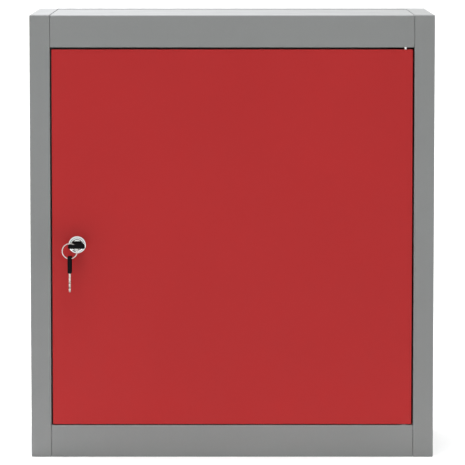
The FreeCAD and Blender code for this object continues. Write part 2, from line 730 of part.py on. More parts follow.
def lock_body():
    body = new_body("lock_body")
    seat(body, x="lock_x", z="lock_height")
    bore = "plug_diameter / 2 + plug_fit"
    turned(body, "case", "Y", [
        (bore, "disc_y"),
        ("lock_disc_diameter / 2 - lock_disc_chamfer", "disc_y"),
        ("lock_disc_diameter / 2", "disc_y + lock_disc_chamfer"),
        ("lock_disc_diameter / 2", "front_y"),
        ("lock_barrel_diameter / 2", "front_y"),
        ("lock_barrel_diameter / 2", "barrel_end_y"),
        (bore, "barrel_end_y"),
    ])
    return body


def lock_nut():
    """A hexagon nut that pulls the disc against the door skin."""
    body = new_body("lock_nut")
    seat(body, x="lock_x", z="lock_height")
    corner = "lock_nut_width / 2 / cos(30)"
    hexagon = [(corner + " * cos(%d)" % angle, corner + " * sin(%d)" % angle)
               for angle in HEXAGON_ANGLES]
    pad(body, "nut", "Y", "skin_y", "skin_y + lock_nut_height",
        outline(hexagon), circle("0", "0", "lock_barrel_diameter + 2 * press_clearance"))
    return body


def lock_plug():
    """The turning plug: keyway at the front, square tail with a screw hole at the back."""
    body = new_body("lock_plug")
    seat(body, x="lock_x", z="lock_height")
    pad(body, "plug", "Y", "plug_face_y", "cam_y", circle("0", "0", "plug_diameter"))
    half = "tail_width / 2"
    pad(body, "tail", "Y", "cam_y", "cam_back_y - tail_setback",
        rectangle("-" + half, half, "-" + half, half))
    wide = "(key_width / 2 + key_fit)"
    thick = "(key_thickness / 2 + key_fit)"
    cut(body, "keyway", "Y", "plug_face_y - cut_overrun", "keyway_end_y",
        rectangle("-" + wide, wide, "-" + thick, thick))
    cut(body, "screw_hole", "Y", "screw_tip_y", "cam_back_y + cut_overrun",
        circle("0", "0", "cam_screw_diameter + 2 * press_clearance"))
    return body


def lock_cam():
    """The latch plate. It points down while the door is unlocked."""
    body = new_body("lock_cam")
    seat(body, x="lock_x", z="lock_height")
    half = "(tail_width / 2 + tail_clearance)"
    pad(body, "plate", "Y", "cam_y", "cam_back_y", slot([("0", "-cam_reach"), ("0", "0")], "cam_width"))
    cut(body, "square", "Y", "cam_y - cut_overrun", "cam_back_y + cut_overrun",
        rectangle("-" + half, half, "-" + half, half))
    return body


def cam_screw():
    """The screw and washer that hold the cam on the plug."""
    body = new_body("cam_screw")
    seat(body, x="lock_x", z="lock_height")
    washer_top = "cam_back_y + cam_washer_height"
    turned(body, "screw", "Y", [
        ("0", "screw_tip_y"),
        ("cam_screw_diameter / 2", "screw_tip_y"),
        ("cam_screw_diameter / 2", "cam_back_y"),
        ("cam_washer_diameter / 2", "cam_back_y"),
        ("cam_washer_diameter / 2", washer_top),
        ("cam_screw_head_diameter / 2", washer_top),
        ("cam_screw_head_diameter / 2", washer_top + " + cam_screw_head_height"),
        ("0", washer_top + " + cam_screw_head_height"),
    ])
    return body


# Keys. Each is drawn with its blade along +Y, its head along -Y, and the origin where they meet.

def key_blade(name):
    body = new_body(name)
    half = "key_width / 2"
    tip = "key_thickness / 2"
    right = [(half, "-key_tang"), (half, "0")]
    for number, share in enumerate(KEY_CUT_SHARES, start=1):
        along = "blade_length - key_tip_length - %d * key_cut_pitch" % (len(KEY_CUT_SHARES) - number)
        depth = "%g * key_cut_depth" % share
        right.append((half, along + " - key_cut_pitch / 2"))
        right.append((half + " - " + depth, along))
    right.append((half, "blade_length - key_tip_length + key_cut_pitch / 2"))
    right.append((tip, "blade_length"))
    left = [("-(" + across + ")", along) for across, along in reversed(right)]
    pad(body, "blade", "Z", "-key_thickness / 2", "key_thickness / 2", outline(right + left))
    return body


def key_head(name):
    """A moulded head that widens away from the blade, with a slot for the ring."""
    body = new_body(name)
    half = "head_thickness / 2"
    pad(body, "head", "Z", "-" + half, half, outline([
        ("-head_inner_width / 2", "0"),
        ("-head_outer_width / 2", "-head_length"),
        ("head_outer_width / 2", "-head_length"),
        ("head_inner_width / 2", "0"),
    ]))
    fillet(body, "corners", "head_corner_radius",
           lambda edge: len(edge.Vertexes) == 2 and near(abs(edge.Vertexes[0].Z - edge.Vertexes[1].Z),
                                                         value("head_thickness")))
    chamfer(body, "bevels", "head_bevel",
            lambda edge: lies_at(edge, z=half) or lies_at(edge, z="-" + half))
    reach = "(head_slot_length - head_slot_width) / 2"
    cut(body, "slot", "Z", "-" + half + " - cut_overrun", half + " + cut_overrun",
        slot([("-" + reach, "-slot_back"), (reach, "-slot_back")], "head_slot_width"))
    thick = "key_thickness / 2"
    cut(body, "tang_pocket", "Z", "-" + thick, thick,
        rectangle("-key_width / 2", "key_width / 2", "-key_tang", "cut_overrun"))
    return body


def hang_key(body):
    """Turn a key blade down and edge-on, and hang the slot of its head on the wire of the ring."""
    across = FreeCAD.Vector(0, 1, 0)
    along = FreeCAD.Vector(0, 0, -1)
    body.Placement.Rotation = FreeCAD.Rotation(across, along, across.cross(along), "XYZ")
    seat(body, x="ring_x", y="ring_y", z="spare_z")


def key_ring():
    """A ring of square wire, turned about the Y axis."""
    body = new_body("key_ring")
    seat(body, x="ring_x", y="ring_y", z="ring_z")
    turned(body, "wire", "Y", [
        ("ring_inner", "-ring_wire / 2"),
        ("ring_inner + ring_wire", "-ring_wire / 2"),
        ("ring_inner + ring_wire", "ring_wire / 2"),
        ("ring_inner", "ring_wire / 2"),
    ])
    return body


def make_shell():
    return [
        side_panel("left_side_panel", LEFT),
        side_panel("right_side_panel", RIGHT),
        end_panel("top_panel", TOP),
        end_panel("bottom_panel", BOTTOM),
        back_panel(),
        top_welds(),
        door_buffers(),
    ]


def make_shelves():
    return [
        upright("front_left_upright", LEFT, "front_upright_y"),
        upright("rear_left_upright", LEFT, "rear_upright_y"),
        upright("front_right_upright", RIGHT, "front_upright_y"),
        upright("rear_right_upright", RIGHT, "rear_upright_y"),
        shelf("lower_shelf", "lower_shelf_z"),
        shelf("upper_shelf", "upper_shelf_z"),
        shelf_clips(),
    ]


def make_door():
    upper_low = "door_high - door_sheet - block_height"
    lower_high = "door_low + door_sheet + block_height"
    return [
        door_panel(),
        door_stiffener(),
        hinge_block("upper_hinge_block", upper_low, "door_high - door_sheet"),
        hinge_block("lower_hinge_block", "door_low + door_sheet", lower_high),
        hinge_pin("upper_hinge_pin", upper_low, "opening_high + pin_overlap", "opening_high + pin_overlap"),
        hinge_pin("lower_hinge_pin", "opening_low - pin_overlap", lower_high, "opening_low - pin_overlap"),
        pivot_bush("upper_pivot_bush", "opening_high", ""),
        pivot_bush("lower_pivot_bush", "opening_low", "-"),
        lower_hinge_washer(),
    ]


def make_lock():
    spare_blade = key_blade("spare_key_blade")
    spare_head = key_head("spare_key_head")
    hang_key(spare_blade)
    hang_key(spare_head)
    inserted = [key_blade("key_blade"), key_head("key_head")]
    for body in inserted:
        seat(body, x="lock_x", y="head_y", z="lock_height")
    return [lock_body(), lock_nut(), lock_plug(), lock_cam(), cam_screw(), key_ring(),
            spare_blade, spare_head] + inserted


def check_document():
    """Stop if any object of the document has failed."""
    for thing in doc.Objects:
        if "Invalid" in thing.State or "Error" in thing.State:
            raise RuntimeError("%s failed: %s" % (thing.Name, thing.State))


def write_parts(pieces):
    os.makedirs("parts", exist_ok=True)
    for piece in pieces:
        shape = piece.Shape
        if shape.isNull() or not shape.isValid():
            raise RuntimeError(piece.Label + " has no valid shape")
        print("%-22s solids %2d  volume %12.1f" % (piece.Label, len(shape.Solids), shape.Volume))
        shape.exportStep(os.path.join("parts", piece.Label + ".step"))


pieces = make_shell() + make_shelves() + make_door() + make_lock()
doc.recompute()
check_document()
write_parts(pieces)
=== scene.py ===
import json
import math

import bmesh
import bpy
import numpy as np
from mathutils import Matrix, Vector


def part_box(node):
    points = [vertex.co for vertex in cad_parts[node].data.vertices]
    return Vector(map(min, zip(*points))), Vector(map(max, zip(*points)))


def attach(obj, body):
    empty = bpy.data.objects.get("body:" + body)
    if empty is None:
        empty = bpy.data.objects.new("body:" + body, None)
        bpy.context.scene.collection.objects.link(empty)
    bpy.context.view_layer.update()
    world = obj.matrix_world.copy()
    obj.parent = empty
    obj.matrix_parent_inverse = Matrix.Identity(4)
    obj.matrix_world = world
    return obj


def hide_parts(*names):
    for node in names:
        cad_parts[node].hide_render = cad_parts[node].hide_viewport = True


bl_info = {
    "name": "Steel tool cabinet dressing",
    "version": (1, 0, 0),
    "blender": (4, 5, 0),
    "location": "3D View > Sidebar > Tool cabinet",
    "description": "Paint, plating and small turned, moulded and bent pieces for a steel tool cabinet",
    "category": "Object",
}

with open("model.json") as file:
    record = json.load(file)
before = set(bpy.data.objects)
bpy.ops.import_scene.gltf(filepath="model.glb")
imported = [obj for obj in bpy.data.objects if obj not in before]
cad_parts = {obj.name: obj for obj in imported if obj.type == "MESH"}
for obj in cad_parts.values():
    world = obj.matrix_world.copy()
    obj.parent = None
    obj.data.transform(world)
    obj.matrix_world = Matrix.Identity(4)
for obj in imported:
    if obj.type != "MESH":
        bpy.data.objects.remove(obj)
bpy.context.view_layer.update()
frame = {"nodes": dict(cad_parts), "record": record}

MM = 0.001
TURN = 2 * math.pi

# Steps round a turned piece, and round the head of the cam's screw
ROUND_SIDES = 96
HEAD_SIDES = 144

# Points closer than this are one point, and an edge shorter than this is none, in metres.
SAME_POINT = 2e-7
NO_EDGE = 1e-7


def node_middle(node):
    """Middle of the box of a node."""
    low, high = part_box(node)
    return (low + high) / 2


# Places of the door, the lock and the keys, read from the solids.
DOOR_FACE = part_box("door_panel")[0].y
LOCK_LOW, LOCK_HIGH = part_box("lock_body")
LOCK_AXIS = node_middle("lock_plug")
RING_MIDDLE = node_middle("key_ring")
RING_LOW, RING_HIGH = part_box("key_ring")
SCREW_LOW, SCREW_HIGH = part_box("cam_screw")
CAM_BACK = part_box("lock_cam")[1].y


# Sizes and colours that a user would change


def length(name, description, millimetres, low=0.01):
    """A length in metres, given here in millimetres."""
    return bpy.props.FloatProperty(name=name, description=description, default=millimetres * MM,
                                   min=low * MM, unit="LENGTH", subtype="DISTANCE", precision=5)


def share(name, description, default):
    """A number from 0 to 1."""
    return bpy.props.FloatProperty(name=name, description=description, default=default, min=0, max=1,
                                   subtype="FACTOR")


def colour(name, description, default):
    """A colour in linear light."""
    return bpy.props.FloatVectorProperty(name=name, description=description, default=default, size=3,
                                         min=0, max=1, subtype="COLOR")


class CabinetPaint(bpy.types.PropertyGroup):
    """The colours, the gloss and the orange peel of the powder coats."""
    grey: colour("Grey coat", "Powder coat of the shell and the shelves", (0.234, 0.242, 0.2387))
    red: colour("Red coat", "Powder coat of the door", (0.407, 0.0172, 0.0180))
    peel_pitch: length("Orange peel", "Distance between the soft waves in the powder coat", 1.4)
    peel_height: length("Orange peel height", "Height of the soft waves in the powder coat", 0.012, 0)
    coat_roughness: share("Coat roughness", "Roughness of the satin powder coat", 0.42)


class CabinetLock(bpy.types.PropertyGroup):
    """The lock body with its thread, and the screw and washers that hold the cam."""
    barrel_radius: length("Barrel radius", "Radius over the crests of the thread", 9.0)
    bore_radius: length("Bore radius", "Radius of the hole that the plug turns in", 6.28)
    line_inset: length("Turned line", "Middle of the turned line from the rim of the disc", 2.2)
    neck_length: length("Neck", "Plain neck of the barrel behind the disc", 1.3)
    thread_pitch: length("Thread pitch", "Distance between the turns of the thread", 1.5)
    thread_depth: length("Thread depth", "Depth of the thread", 0.75)
    head_radius: length("Screw head", "Radius of the head of the cam's screw", 3.5)
    dome_height: length("Dome", "Height of the dome of that head", 0.62)
    recess_reach: length("Cross recess", "Reach of the cross recess from the axis of the screw", 2.1)
    recess_depth: length("Cross depth", "Depth of the cross recess in the screw", 1.2)
    recess_width: length("Cross width", "Width of an arm of the cross recess", 0.96)
    shank_radius: length("Shank radius", "Radius of the shank of the cam's screw", 1.9)
    shank_length: length("Shank length", "Reach of the shank into the plug from the back of the cam", 4)
    flat_washer: length("Flat washer", "Thickness of the flat washer", 0.75)
    split_washer: length("Split washer", "Height of the split washer", 0.62)


class CabinetKeys(bpy.types.PropertyGroup):
    """The split ring and the moulded heads of the keys."""
    wire_gap: length("Coil gap", "Gap between the two coils of the split ring", 0.05, 0)
    ring_end: bpy.props.FloatProperty(name="Ring end", description="Where the ends of the ring's wire lie, "
                                      "as an angle from the right", default=math.radians(205),
                                      unit="ROTATION", subtype="ANGLE")
    blade_end: length("Head at the blade", "Width of a key head at the blade", 15.4)
    outer_end: length("Head at its outer end", "Width of a key head at its outer end", 22)
    head_corner: length("Head corner", "Corner radius of a key head", 3)
    slot_across: length("Slot across", "Length of the slot across a key head", 12.4)
    slot_wide: length("Slot width", "Width of that slot", 5)
    slot_inset: length("Slot inset", "Middle of the slot from the outer end of the head", 4.1)
    grip_edge: length("Grip edge", "Rounding of the outer edge of a key head", 1.25)
    grip_dish: length("Grip dish", "Depth of the dished faces of a key head", 0.3, 0)


class CabinetWelds(bpy.types.PropertyGroup):
    """The marks of the spot welds on the laps and on the stiffener."""
    mark_radius: length("Weld mark radius", "Radius of the mark of a spot weld", 2.6)
    mark_height: length("Weld mark height", "Height of the raised rim of a mark", 0.09)
    mark_inset: length("Weld mark inset", "Middle of a mark from the edge of its lap or flange", 6)
    stiffener_end: length("Stiffener end", "First mark from the end of the stiffener", 18)
    upright_end: length("Lap end", "First mark from the end of an upright lap", 45)
    level_end: length("Level lap end", "First mark from the end of a lap of the top or the base", 30)
    shell_sheet: length("Shell sheet", "Thickness of the sheet that the laps stand in from", 1.2)
    door_sheet: length("Door sheet", "Thickness of the sheet of the stiffener", 1)


class CabinetStage(bpy.types.PropertyGroup):
    """Camera, floor and light."""
    camera_distance: length("Camera distance", "From the camera to the front of the cabinet", 4401.6)
    camera_side: length("Camera side", "How far the camera stands to the right of the middle", 0.44, 0)
    camera_height: length("Camera height", "Height of the camera above the floor", 705.9)
    camera_tilt: bpy.props.FloatProperty(name="Camera tilt", description="How far the camera looks down",
                                         default=0.09628, unit="ROTATION", subtype="ANGLE")
    camera_lens: bpy.props.FloatProperty(name="Lens", description="Focal length of the camera",
                                         default=276.4, min=1, unit="CAMERA")
    floor_colour: colour("Floor", "Colour of the floor", (0.78, 0.78, 0.78))
    floor_glow: bpy.props.FloatProperty(name="Floor glow", default=0.2, min=0,
                                        description="Light from below through the paper of the floor")
    sky_low: bpy.props.FloatProperty(name="Light from the sides", default=0.16, min=0,
                                     description="Strength of the studio light near the horizon")
    sky_high: bpy.props.FloatProperty(name="Light from above", default=8.2, min=0,
                                      description="Strength of the studio light overhead")
    tent: bpy.props.FloatProperty(name="Tent", default=1.12, min=0,
                                  description="Strength of the white tent that reflections see")
    soft_box_power: bpy.props.FloatProperty(name="Soft box", default=11.5, min=0, unit="POWER",
                                            description="Power of the soft box above the left side")
    front_box_power: bpy.props.FloatProperty(name="Front box", default=6, min=0, unit="POWER",
                                             description="Power of the soft box high before the door")
    strip_light_power: bpy.props.FloatProperty(name="Strip light", default=0.07, min=0, unit="POWER",
                                               description="Power of the low strip light before the base")


SETTINGS = {
    "cabinet_paint": CabinetPaint,
    "cabinet_lock": CabinetLock,
    "cabinet_keys": CabinetKeys,
    "cabinet_welds": CabinetWelds,
    "cabinet_stage": CabinetStage,
}


# Surfaces on grids


def grid_quads(rows, columns, closed_rows=False, closed_columns=False):
    """Corner numbers of the quads of a grid whose points are counted row by row. A closed direction
    joins its last line of points to its first."""
    row, column = np.meshgrid(np.arange(rows if closed_rows else rows - 1),
                              np.arange(columns if closed_columns else columns - 1), indexing="ij")
    next_row = (row + 1) % rows
    next_column = (column + 1) % columns
    corners = (row * columns + column, row * columns + next_column,
               next_row * columns + next_column, next_row * columns + column)
    return np.stack(corners, axis=-1).reshape(-1, 4)


def grid_uv(rows, columns, closed_rows, closed_columns):
    """Map places of those quads' corners: the share of the way along the columns, and along the rows."""
    row, column = np.meshgrid(np.arange(rows if closed_rows else rows - 1),
                              np.arange(columns if closed_columns else columns - 1), indexing="ij")
    wide = columns if closed_columns else columns - 1
    high = rows if closed_rows else rows - 1
    corners = ((column, row), (column + 1, row), (column + 1, row + 1), (column, row + 1))
    return np.stack([np.stack((u / wide, v / high), axis=-1) for u, v in corners], axis=-2).reshape(-1, 2)


def surface(points, closed_rows=False, closed_columns=False):
    """A grid of points, rows by columns by 3, as points, quads and map places."""
    rows, columns = points.shape[:2]
    return (points.reshape(-1, 3), grid_quads(rows, columns, closed_rows, closed_columns),
            grid_uv(rows, columns, closed_rows, closed_columns))


def joined(*surfaces):
    """Several surfaces as one."""
    starts = np.cumsum([0] + [len(points) for points, quads, places in surfaces[:-1]])
    return (np.concatenate([points for points, quads, places in surfaces]),
            np.concatenate([quads + start for (points, quads, places), start in zip(surfaces, starts)]),
            np.concatenate([places for points, quads, places in surfaces]))


def add_piece(name, shape, body, material, replaced=(), smooth_angle=40):
    """Puts a surface into a mesh, closes its seams and poles, points its faces outwards, and lets it
    ride on a body of the cabinet."""
    points, quads, places = shape
    mesh = bpy.data.meshes.new(name)
    mesh.from_pydata(points.tolist(), [], quads.tolist())
    mesh.uv_layers.new(name="along").data.foreach_set("uv", places.astype(np.float32).ravel())
    work = bmesh.new()
    work.from_mesh(mesh)
    bmesh.ops.remove_doubles(work, verts=work.verts, dist=SAME_POINT)
    bmesh.ops.dissolve_degenerate(work, edges=work.edges, dist=NO_EDGE)
    bmesh.ops.recalc_face_normals(work, faces=work.faces)
    work.to_mesh(mesh)
    work.free()
    mesh.shade_smooth()
    mesh.set_sharp_from_angle(angle=math.radians(smooth_angle))
    mesh.materials.append(material)
    piece = bpy.data.objects.new(name, mesh)
    bpy.context.scene.collection.objects.link(piece)
    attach(piece, body)
    if replaced:
        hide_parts(*replaced)
    return piece


def quarter_curve(start, end, count):
    """Points from start to end along a quarter of an ellipse that leaves start along the second
    coordinate: with the angle a from 0 to a quarter turn, 1 - cos a of the way along the first
    coordinate and sin a of the way along the second."""
    angle = np.linspace(0, TURN / 4, count)
    share_of_way = np.stack((1 - np.cos(angle), np.sin(angle)), axis=-1)
    return start + (np.array(end) - start) * share_of_way


def stepped(steps, place, radius):
    """Profile points of an edge at a place on the axis and a radius. A step is a distance along the
    axis and one outwards, in millimetres."""
    return np.array(steps) * MM + (place, radius)


def round_axis(middle, radius, height, sides):
    """Points round an axis along Y, rows by sides. With the angle a round the axis, a point is at
    middle.x + radius * sin a, its height along the axis, middle.z + radius * cos a."""
    angle = np.arange(sides) / sides * TURN
    height = np.broadcast_to(height, radius.shape)
    return np.stack((middle.x + radius * np.sin(angle), height, middle.z + radius * np.cos(angle)), axis=-1)


def turned(profile, middle, sides=ROUND_SIDES, shift=None, closed=False):
    """A profile turned round an axis along Y. A profile point is its place on the axis and its radius;
    shift, rows by sides, is added to the radius."""
    profile = np.asarray(profile, float)
    radius = np.repeat(profile[:, 1:2], sides, axis=1)
    if shift is not None:
        radius = radius + shift
    return surface(round_axis(middle, radius, profile[:, :1], sides), closed_rows=closed,
                   closed_columns=True)


# Materials


def new_material(name, base, roughness, metallic=0.0, **sockets):
    """A material with one principled shader, and the sockets that are the same all over."""
    material = bpy.data.materials.new(name)
    material.use_nodes = True
    material.diffuse_color = (*base, 1)
    shader = material.node_tree.nodes["Principled BSDF"]
    shader.inputs["Base Color"].default_value = (*base, 1)
    shader.inputs["Roughness"].default_value = roughness
    shader.inputs["Metallic"].default_value = metallic
    for socket, value in sockets.items():
        shader.inputs[socket.replace("_", " ")].default_value = value
    return material


def add_node(material, kind, links=(), **values):
    """A node of a material. links are pairs of an input and the output that feeds it; a value is a
    setting of the node, or of the input with that name."""
    node = material.node_tree.nodes.new(kind)
    for name, value in values.items():
        if hasattr(node, name):
            setattr(node, name, value)
        else:
            node.inputs[name].default_value = value
    for name, output in links:
        material.node_tree.links.new(node.inputs[name], output)
    return node


def object_place(material, centre=(0, 0, 0), stretch=(1, 1, 1)):
    """The place on the cabinet in metres, measured from centre and stretched."""
    place = add_node(material, "ShaderNodeTexCoord").outputs["Object"]
    shift = [-c * s for c, s in zip(centre, stretch)]
    return add_node(material, "ShaderNodeMapping", [("Vector", place)], Location=shift,
                    Scale=stretch).outputs["Vector"]


def map_place(material, stretch):
    """The place along a piece's own map, stretched."""
    place = add_node(material, "ShaderNodeUVMap", uv_map="along").outputs["UV"]
    return add_node(material, "ShaderNodeMapping", [("Vector", place)], Scale=stretch).outputs["Vector"]


def noise(material, place, pitch, detail=2.0, roughness=0.5):
    """Soft noise whose features lie about one pitch apart on the place that it is given."""
    return add_node(material, "ShaderNodeTexNoise", [("Vector", place)], Scale=1 / pitch, Detail=detail,
                    Roughness=roughness).outputs["Fac"]


def spread(material, value, low, high, start=0.3, end=0.7):
    """A value from start to end, spread from low to high."""
    return add_node(material, "ShaderNodeMapRange", [("Value", value)], **{
        "From Min": start, "From Max": end, "To Min": low, "To Max": high}).outputs["Result"]


def tint(material, value, colours):
    """Colours along a value: pairs of a place from 0 to 1 and a colour."""
    node = add_node(material, "ShaderNodeValToRGB", [("Fac", value)])
    stops = node.color_ramp.elements
    while len(stops) < len(colours):
        stops.new(0.5)
    for stop, (place, rgb) in zip(stops, colours):
        stop.position = place
        stop.color = (*rgb, 1)
    return node.outputs["Color"]


def shade(base, factor):
    """A colour made lighter or darker."""
    return tuple(min(1.0, c * factor) for c in base)


def feed(material, socket, output):
    """Feeds a socket of the shader."""
    material.node_tree.links.new(material.node_tree.nodes["Principled BSDF"].inputs[socket], output)


def bump(material, height, distance, under=None):
    """Bump of a height in metres, on top of an earlier bump."""
    links = [("Height", height)] + ([("Normal", under)] if under else [])
    return add_node(material, "ShaderNodeBump", links, Distance=distance).outputs["Normal"]


def average(material, first, second):
    """The middle of two values."""
    both = add_node(material, "ShaderNodeMath", [(0, first), (1, second)], operation="ADD").outputs[0]
    half = add_node(material, "ShaderNodeMath", [(0, both)], operation="MULTIPLY")
    half.inputs[1].default_value = 0.5
    return half.outputs[0]


def powder_coat(name, base, roughness, pitch, height):
    """Satin powder coat: a soft orange peel over faint long waves of the sheet, a slightly uneven
    gloss, and a shade that drifts a little, with fine lighter grains in it."""
    material = new_material(name, base, roughness, Specular_IOR_Level=0.2)
    place = object_place(material)
    drift = noise(material, place, pitch=160 * MM, detail=1)
    grain = noise(material, place, pitch=0.45 * pitch, detail=1)
    feed(material, "Base Color", tint(material, average(material, drift, grain), (
        (0.36, shade(base, 0.972)), (0.5, base), (0.64, shade(base, 1.028)))))
    gloss = noise(material, place, pitch=35 * MM)
    feed(material, "Roughness", spread(material, gloss, low=roughness - 0.035, high=roughness + 0.035))
    waves = noise(material, place, pitch=120 * MM, detail=0)
    sheet = bump(material, waves, distance=0.2 * MM)
    peel = noise(material, place, pitch, detail=1.5)
    feed(material, "Normal", bump(material, peel, distance=2 * height, under=sheet))
    return material


def zinc_plate(name, base):
    """Zinc plate: cloudy patches of slightly bluer and warmer grey, and fine rolling lines."""
    material = new_material(name, base, roughness=0.34, metallic=1.0)
    place = object_place(material)
    red, green, blue = base
    cool = (red * 0.93, green * 0.96, blue)
    warm = (red * 1.05, green * 1.03, blue * 0.97)
    cloud = noise(material, place, pitch=4 * MM, detail=4, roughness=0.6)
    feed(material, "Base Color", tint(material, cloud, ((0.3, cool), (0.55, base), (0.75, warm))))
    haze = noise(material, place, pitch=8 * MM, detail=3)
    feed(material, "Roughness", spread(material, haze, low=0.26, high=0.44))
    lines = noise(material, object_place(material, stretch=(1, 1, 0.03)), pitch=0.4 * MM)
    feed(material, "Normal", bump(material, lines, distance=0.01 * MM))
    return material


def turned_metal(name, base, roughness, middle, ring_pitch, direction="Y", height=0.004 * MM):
    """Metal with the fine rings that a lathe leaves round an axis, and a breath of unevenness."""
    material = new_material(name, base, roughness, metallic=1.0)
    place = object_place(material, centre=tuple(middle))
    # At a scale of 1 the node's rings lie TURN / 20 metres apart.
    rings = add_node(material, "ShaderNodeTexWave", [("Vector", place)], wave_type="RINGS",
                     rings_direction=direction, Scale=TURN / (20 * ring_pitch), Distortion=0.6,
                     Detail=2.0).outputs["Fac"]
    cloud = noise(material, place, pitch=3 * MM, detail=3)
    feed(material, "Base Color", tint(material, cloud, (
        (0.3, shade(base, 0.95)), (0.7, shade(base, 1.03)))))
    feed(material, "Roughness", spread(material, cloud, low=roughness * 0.8, high=roughness * 1.25))
    feed(material, "Normal", bump(material, rings, height))
    return material


def milled_metal(name, base, roughness):
    """Nickel plate over a milled blank: faint lines along its length and bright worn patches."""
    material = new_material(name, base, roughness, metallic=1.0)
    place = object_place(material)
    worn = noise(material, place, pitch=2.5 * MM, detail=3)
    feed(material, "Base Color", tint(material, worn, (
        (0.35, shade(base, 0.9)), (0.6, shade(base, 1.06)))))
    feed(material, "Roughness", spread(material, worn, low=roughness * 1.2, high=roughness * 0.75))
    lines = noise(material, object_place(material, stretch=(1, 0.05, 1)), pitch=0.25 * MM)
    feed(material, "Normal", bump(material, lines, distance=0.005 * MM))
    return material


def drawn_wire(name, base, roughness):
    """Bright spring wire: faint lines along the wire, from the piece's own map."""
    material = new_material(name, base, roughness, metallic=1.0)
    lines = noise(material, map_place(material, stretch=(24, 6, 1)), pitch=0.25, detail=3)
    feed(material, "Base Color", tint(material, lines, (
        (0.3, shade(base, 0.93)), (0.7, shade(base, 1.04)))))
    feed(material, "Roughness", spread(material, lines, low=roughness * 0.8, high=roughness * 1.3))
    feed(material, "Normal", bump(material, lines, distance=0.004 * MM))
    return material


def moulded_plastic(name, base, roughness, grain_pitch, grain_height, gloss=0.12):
    """Moulded plastic or rubber: a fine spark-eroded grain and a slightly uneven gloss."""
    material = new_material(name, base, roughness, Specular_IOR_Level=gloss)
    place = object_place(material)
    grain = noise(material, place, grain_pitch, detail=3, roughness=0.6)
    feed(material, "Base Color", tint(material, grain, (
        (0.3, shade(base, 0.9)), (0.7, shade(base, 1.12)))))
    feed(material, "Roughness", spread(material, grain, low=roughness * 0.92, high=roughness * 1.08))
    feed(material, "Normal", bump(material, grain, grain_height))
    return material


def finishes(settings):
    """The finish of each material slot of the record."""
    grey = tuple(settings.grey)
    red = tuple(settings.red)
    coat = (settings.coat_roughness, settings.peel_pitch, settings.peel_height)
    polish = 0.0006 * MM
    pin_middle = node_middle("upper_hinge_pin")
    return {
        "grey_paint": lambda: powder_coat("grey_powder_coat", grey, *coat),
        # The weld marks get the grey darkened to a fifth: painted shade, so the shallow marks show as dark
        # spots.
        "seam_welds": lambda: powder_coat("weld_coat", shade(grey, 0.2), *coat),
        "red_paint": lambda: powder_coat("red_powder_coat", red, *coat),
        "shelf_grey": lambda: powder_coat("shelf_powder_coat", grey, *coat),
        "zinc_steel": lambda: zinc_plate("bright_zinc", (0.62, 0.64, 0.66)),
        "bright_pin": lambda: turned_metal("turned_pin_steel", (0.80, 0.82, 0.81), 0.24, pin_middle,
                                           ring_pitch=0.4 * MM, direction="Z"),
        "lock_chrome": lambda: turned_metal("satin_chrome", (0.64, 0.66, 0.66), 0.03, LOCK_AXIS,
                                            ring_pitch=0.45 * MM, height=polish),
        "lock_nickel": lambda: turned_metal("bright_nickel", (0.62, 0.63, 0.62), 0.04, LOCK_AXIS,
                                            ring_pitch=0.6 * MM, height=polish),
        "key_nickel": lambda: milled_metal("nickel_blank", (0.50, 0.46, 0.42), 0.4),
        "ring_steel": lambda: drawn_wire("spring_wire", (0.52, 0.49, 0.47), 0.3),
        "key_black": lambda: moulded_plastic("black_moulding", (0.009, 0.009, 0.010), 0.7,
                                             grain_pitch=0.3 * MM, grain_height=0.01 * MM, gloss=0.0),
        "buffer_rubber": lambda: moulded_plastic("black_rubber", (0.022, 0.022, 0.023), 0.75,
                                                 grain_pitch=0.6 * MM, grain_height=0.03 * MM),
        "bush_nylon": lambda: moulded_plastic("natural_nylon", (0.74, 0.74, 0.69), 0.48,
                                              grain_pitch=0.8 * MM, grain_height=0.01 * MM),
    }


def finish_of(slot):
    """The finish that the paint operator made for a slot."""
    return bpy.data.materials[bpy.context.scene["finish_names"][slot]]


# Operators


class CABINET_OT_paint(bpy.types.Operator):
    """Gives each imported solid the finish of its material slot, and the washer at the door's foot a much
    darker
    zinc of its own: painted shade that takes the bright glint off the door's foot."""
    bl_idname = "cabinet.paint"
    bl_label = "Paint and plating"

    def execute(self, context):
        made = {slot: make() for slot, make in finishes(context.scene.cabinet_paint).items()}
        context.scene["finish_names"] = {slot: material.name for slot, material in made.items()}
        for entry in frame["record"]["subparts"]:
            mesh = frame["nodes"][entry["node"]].data
            mesh.materials.clear()
            mesh.materials.append(made[entry["material_slot"]])
        washer = frame["nodes"]["lower_hinge_washer"].data
        # A much darker zinc on this washer: painted shade that takes the bright glint off the door's foot.
        washer.materials[0] = zinc_plate("greased_zinc", (0.13, 0.125, 0.12))
        return {"FINISHED"}


# Edges of the lock body, as steps in millimetres: a distance along the axis, and one outwards
BORE_EDGE = ((1.6, 0), (0.35, 0), (0.08, 0.12), (0, 0.28))
TURNED_LINE = ((0, -0.3), (0.12, -0.1), (0.12, 0.1), (0, 0.3))
DISC_BEVEL = ((0, -1.6), (0.02, -1.48), (0.08, -1.4), (1.28, -0.12), (1.4, 0))
DISC_BACK = ((-0.25, 0), (-0.05, -0.12), (0, -0.3))
NECK_EDGE = ((0, 0.15),)
THREAD_EDGE = ((0, -0.1),)
BORE_END = ((0, 0.3), (-0.3, 0))


